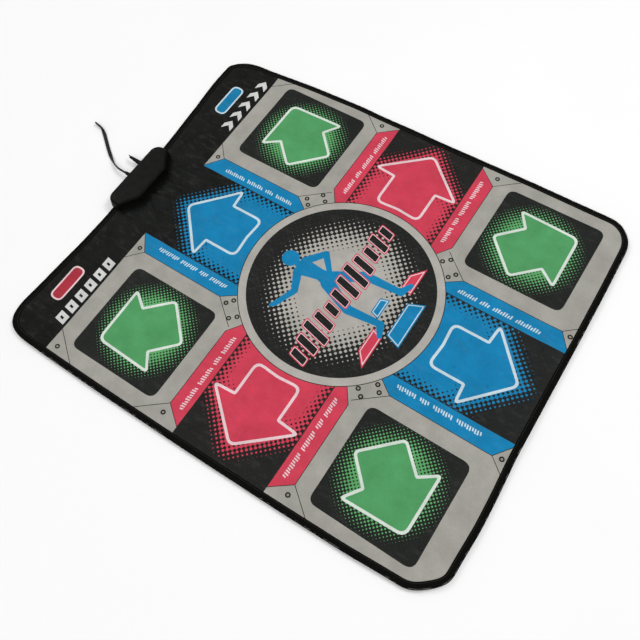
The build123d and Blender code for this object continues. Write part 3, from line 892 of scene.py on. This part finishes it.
# ---- Materials ----
class Finish:
    """One material's node tree, with short calls for the nodes that it needs."""

    def __init__(self, name):
        self.material = bpy.data.materials.new(name)
        self.material.use_nodes = True
        self.tree = self.material.node_tree
        self.tree.nodes.clear()
        self.shader = self.node("ShaderNodeBsdfPrincipled")
        output = self.node("ShaderNodeOutputMaterial")
        self.tree.links.new(self.shader.outputs[0], output.inputs[0])
        self.place = self.node("ShaderNodeTexCoord").outputs["Object"]

    def node(self, kind, **settings):
        node = self.tree.nodes.new(kind)
        for key, value in settings.items():
            setattr(node, key, value)
        return node

    def put(self, socket, value):
        if isinstance(value, bpy.types.NodeSocket):
            self.tree.links.new(value, socket)
        else:
            socket.default_value = value

    def math(self, operation, first, second=0.0, clamp=False):
        node = self.node("ShaderNodeMath", operation=operation, use_clamp=clamp)
        self.put(node.inputs[0], first)
        self.put(node.inputs[1], second)
        return node.outputs[0]

    def mix(self, share, first, second, blend="MIX"):
        node = self.node("ShaderNodeMix", data_type="RGBA", blend_type=blend)
        for socket, value in zip((node.inputs[0], node.inputs[6], node.inputs[7]), (share, first, second)):
            self.put(socket, value)
        return node.outputs[2]

    def noise(self, size_mm, detail=3.0, roughness=0.55, stretch=None):
        """Noise whose features are about this many millimetres across."""
        node = self.node("ShaderNodeTexNoise")
        vector = self.place
        if stretch:
            scale = self.node("ShaderNodeVectorMath", operation="MULTIPLY")
            self.put(scale.inputs[0], self.place)
            self.put(scale.inputs[1], stretch)
            vector = scale.outputs[0]
        self.put(node.inputs["Vector"], vector)
        self.put(node.inputs["Scale"], 1000 / size_mm)
        self.put(node.inputs["Detail"], detail)
        self.put(node.inputs["Roughness"], roughness)
        return node.outputs[0]

    def ranged(self, value, low, high):
        """A 0 to 1 value spread from low to high."""
        node = self.node("ShaderNodeMapRange")
        for socket, entry in zip(node.inputs[:5], (value, 0.3, 0.7, low, high)):
            self.put(socket, entry)
        return node.outputs[0]

    def axis(self, name):
        node = self.node("ShaderNodeSeparateXYZ")
        self.put(node.inputs[0], self.place)
        return node.outputs[name]

    def waves(self, value, period_mm):
        """A cosine from -1 to 1 along a length in metres."""
        return self.math("COSINE", self.math("MULTIPLY", value, 2 * pi * 1000 / period_mm))

    def weave(self, period_mm):
        """Threads that pass over and under each other."""
        across, along = (self.waves(self.axis(name), period_mm) for name in "XY")
        return self.math("MULTIPLY", across, along)

    def bump(self, height, depth_mm, below=None):
        node = self.node("ShaderNodeBump")
        node.inputs["Strength"].default_value = 1.0
        node.inputs["Distance"].default_value = depth_mm * MM
        self.put(node.inputs["Height"], height)
        if below is not None:
            self.put(node.inputs["Normal"], below)
        return node.outputs[0]

    def finish(self, colour, roughness, normal=None, **constants):
        self.put(self.shader.inputs["Base Color"], colour)
        self.put(self.shader.inputs["Roughness"], roughness)
        if normal is not None:
            self.put(self.shader.inputs["Normal"], normal)
        for name, value in constants.items():
            self.shader.inputs[name.replace("_", " ").title().replace("Ior", "IOR")].default_value = value
        return self.material


def rgba(rgb):
    return (*linear(rgb), 1.0)


def printed_vinyl():
    """The cover: two inks mixed as printed dots, on soft woven cloth with a worn, satin face."""
    f = Finish("printed_vinyl")
    ink, dots, tone = (f.node("ShaderNodeAttribute", attribute_name=n) for n in ("ink", "dots", "tone"))
    turns = f.math("DIVIDE", 2 * pi * 100, dots.outputs["Alpha"])
    diagonals = [
        f.math("COSINE", f.math("MULTIPLY", f.math(way, f.axis("X"), f.axis("Y")), turns))
        for way in ("ADD", "SUBTRACT")
    ]
    pattern = f.math("MULTIPLY", f.math("ADD", f.math("ADD", *diagonals), 2.0), 0.25)
    threshold = f.math("SUBTRACT", 1.03, f.math("MULTIPLY", tone.outputs["Fac"], 1.1))
    dot = f.math("ADD", f.math("MULTIPLY", f.math("SUBTRACT", pattern, threshold), 9.0), 0.5, clamp=True)
    colour = f.mix(dot, ink.outputs["Color"], dots.outputs["Color"])
    cloudy = f.ranged(f.noise(42, 5.0, 0.62), 0.86, 1.10)
    grain = f.ranged(f.noise(2.2, 2.0), 0.95, 1.05)
    shade = f.math("MULTIPLY", cloudy, grain)
    colour = f.mix(1.0, colour, shade, "MULTIPLY")
    worn = f.ranged(f.noise(9, 5.0, 0.7, (1.0, 0.35, 1.0)), -0.25, 0.2)
    scuff = f.math("MULTIPLY", worn, 0.25, clamp=True)
    colour = f.mix(scuff, colour, rgba((150, 148, 142)))
    weave = f.bump(f.weave(1.1), 0.05)
    crinkle = f.bump(f.noise(16, 4.0, 0.6, (1.0, 0.6, 1.0)), 0.9, weave)
    soft = f.bump(f.noise(55, 2.0, 0.5), 1.8, crinkle)
    off_line = f.math("ABSOLUTE", f.math("SUBTRACT", f.noise(120, 2.0, 0.5, (1.0, 0.7, 1.0)), 0.5))
    crease = f.math("SUBTRACT", 1.0, f.math("MULTIPLY", off_line, 20.0), clamp=True)
    soft = f.bump(crease, 0.9, soft)
    return f.finish(colour, f.ranged(f.noise(30, 4.0), 0.4, 0.6), soft, specular_ior_level=0.12)


def tape_cloth():
    """Ribbed black polyester tape."""
    f = Finish("tape_cloth")
    shade = f.mix(f.ranged(f.noise(5, 4.0), 0.0, 1.0), rgba((4, 4, 3)), rgba((9, 9, 8)))
    colour = f.mix(f.math("MULTIPLY", f.ranged(f.noise(1.4), 0.0, 1.0), 0.2), shade, rgba((24, 24, 22)))
    rib = f.bump(f.weave(0.9), 0.12)
    pucker = f.bump(f.noise(7, 3.0), 0.7, rib)
    return f.finish(colour, f.ranged(f.noise(8), 0.62, 0.8), pucker, specular_ior_level=0.06)


def thread_cloth():
    """Dull grey thread, with its twist."""
    f = Finish("thread")
    colour = f.mix(f.noise(1.0), rgba((26, 26, 24)), rgba((58, 57, 53)))
    return f.finish(colour, 0.7, f.bump(f.waves(f.math("ADD", f.axis("X"), f.axis("Y")), 0.5), 0.06))


def backing_cloth():
    """Dark non-woven backing with rows of rubber dots that keep it from slipping."""
    f = Finish("backing_cloth")
    cells = f.math("MULTIPLY", f.waves(f.axis("X"), 9.0), f.waves(f.axis("Y"), 9.0))
    dot = f.math("MULTIPLY", f.math("SUBTRACT", cells, 0.55), 8.0, clamp=True)
    cloth = f.mix(f.ranged(f.noise(3.0, 5.0, 0.7), 0.0, 1.0), rgba((42, 42, 43)), rgba((66, 66, 66)))
    colour = f.mix(dot, cloth, rgba((23, 23, 25)))
    fibre = f.bump(f.noise(1.2, 4.0, 0.7), 0.2)
    return f.finish(colour, f.ranged(f.noise(4), 0.7, 0.9), f.bump(dot, 0.6, fibre))


def moulded(name, dark, light, roughness, grain_mm=0.7, shine=0.3):
    """Moulded plastic with a fine grain, faint scratches and paler worn edges."""
    f = Finish(name)
    base = f.mix(f.ranged(f.noise(18, 4.0), 0.0, 1.0), rgba(dark), rgba(light))
    worn = f.node("ShaderNodeNewGeometry").outputs["Pointiness"]
    rim = f.math("MULTIPLY", f.math("SUBTRACT", worn, 0.53), 5.0, clamp=True)
    pale = rgba([min(255, c + 38) for c in light])
    colour = f.mix(f.math("MULTIPLY", rim, f.noise(4, 4.0)), base, pale)
    lines = f.noise(5, 6.0, 0.75, (0.15, 1.0, 1.0))
    rough = f.math("ADD", f.ranged(f.noise(12, 5.0), roughness - 0.05, roughness + 0.06),
                   f.math("MULTIPLY", lines, 0.02))
    face = f.bump(f.noise(grain_mm, 2.0), 0.05)
    return f.finish(colour, rough, f.bump(lines, 0.0075, face), specular_ior_level=shine)


def steel():
    """Plated steel of the screws."""
    f = Finish("screw_steel")
    colour = f.mix(f.noise(1.5, 4.0), rgba((150, 150, 152)), rgba((190, 190, 192)))
    rough = f.ranged(f.noise(1.0, 3.0), 0.28, 0.45)
    return f.finish(colour, rough, f.bump(f.noise(0.4), 0.02), metallic=1.0)


def foam_cells():
    """Pale open foam."""
    f = Finish("foam_cells")
    colour = f.mix(f.noise(2.0, 4.0), rgba((196, 190, 174)), rgba((226, 222, 210)))
    return f.finish(colour, f.ranged(f.noise(1.5), 0.8, 0.95), f.bump(f.noise(0.8, 3.0), 0.3))


# ---- The camera, light and floor ----
CAMERA_AT = Vector((-0.50774, -0.38837, 1.19974))
LOOKS_AT = Vector((-0.07751, -0.00391, 0.0))
CAMERA_ROLL = -9.24      # degrees
FOCAL_LENGTH = 39.594    # on a sensor 36 mm wide


def add_camera():
    data = bpy.data.cameras.new("camera")
    data.lens, data.sensor_width = FOCAL_LENGTH, 36.0
    camera = linked("camera", data)
    aim = (LOOKS_AT - CAMERA_AT).to_track_quat("-Z", "Y").to_matrix()
    roll = Matrix.Rotation(radians(CAMERA_ROLL), 3, "Z")
    camera.matrix_world = Matrix.Translation(CAMERA_AT) @ (aim @ roll).to_4x4()
    bpy.context.scene.camera = camera


def add_light(name, at, size, power):
    """A round soft light that points at the middle of the mat."""
    data = bpy.data.lights.new(name, "AREA")
    data.shape, data.size, data.energy = "DISK", size, power
    at = Vector(at)
    aim = (-at).to_track_quat("-Z", "Y").to_matrix()
    linked(name, data).matrix_world = Matrix.Translation(at) @ aim.to_4x4()


def add_studio():
    """Soft light from three sides, a pale world and a pale floor."""
    add_light("key", (2.2, -1.6, 3.6), 2.0, 70)
    add_light("fill", (-2.4, -0.8, 3.4), 2.4, 52)
    add_light("rear", (0.8, 3.0, 3.2), 2.0, 46)
    world = bpy.data.worlds.new("studio")
    world.use_nodes = True
    background = world.node_tree.nodes["Background"]
    background.inputs["Color"].default_value = (1, 1, 1, 1)
    background.inputs["Strength"].default_value = 0.4
    bpy.context.scene.world = world
    bpy.context.scene.view_settings.view_transform = "Standard"
    f = Finish("floor_paper")
    colour = f.mix(f.noise(400, 2.0), (0.93, 0.93, 0.93, 1), (0.96, 0.96, 0.96, 1))
    material = f.finish(colour, 0.8)
    half = 8.0
    mesh = bpy.data.meshes.new("floor")
    mesh.from_pydata([(x, y, -0.0004) for x, y in rectangle(-half, -half, half, half)], [], [(0, 1, 2, 3)])
    mesh.materials.append(material)
    linked("floor", mesh)


# ---- Everything ----
def dress(material, *nodes):
    """Gives CAD parts a finish."""
    for node in nodes:
        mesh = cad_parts[node].data
        mesh.materials.clear()
        mesh.materials.append(material)


def dress_box():
    """Finishes of the control box, the boots of its leads and the parts inside it."""
    dress(moulded("box_black", (5, 5, 4), (10, 10, 8), 0.45, shine=0.07), "box_top_shell", "box_base")
    dress(steel(), "box_screws", "board_screws")
    boots = moulded("boot_rubber", (8, 8, 8), (14, 14, 13), 0.5, 0.5, shine=0.12)
    dress(boots, "strain_relief_long", "strain_relief_short")
    dress(moulded("circuit_board", (140, 98, 48), (160, 116, 62), 0.5), "control_board")
    dress(moulded("strip_rubber", (24, 24, 24), (34, 34, 34), 0.7), "pressure_strip")
    dress(moulded("chip_epoxy", (12, 12, 12), (24, 24, 24), 0.3, 1.5), "chip_blobs")
    dress(moulded("resonator_blue", (34, 82, 168), (48, 100, 190), 0.4), "resonator")
    dress(moulded("resistor_tan", (188, 160, 116), (208, 182, 138), 0.5), "resistors")
    dress(moulded("can_sleeve", (28, 30, 52), (40, 42, 66), 0.35), "capacitor")
    dress(moulded("wire_sleeve", (150, 30, 30), (190, 44, 40), 0.45), "board_wires")


def build_layers():
    """The layers under the cover, from the backing up to the film's patches that press down."""
    film = moulded("film", (205, 208, 210), (222, 224, 226), 0.25)
    carbon = moulded("carbon_print", (22, 22, 23), (32, 32, 33), 0.6, 0.4)
    backing = waved_copy("backing", "backing_sheet", backing_cloth())
    foam = waved_copy("foam_spacer", "foam_layer", foam_cells())
    waved_copy("lower_film", "lower_film_sheet", film)
    waved_copy("upper_film", "upper_film_sheet", film)
    waved_copy("lower_contacts", "lower_contact_prints", carbon)
    for zone in ZONES:
        waved_copy("contact_" + zone, "upper_contact_" + zone, film, "press_" + zone)


add_camera()
lead_plastic = moulded("lead_black", (8, 8, 8), (15, 15, 14), 0.42, 0.5, shine=0.15)
build_long_lead(lead_plastic)
build_short_lead(lead_plastic)
add_studio()
dress_box()
build_layers()
build_binding(tape_cloth(), thread_cloth())
build_cover(printed_vinyl())
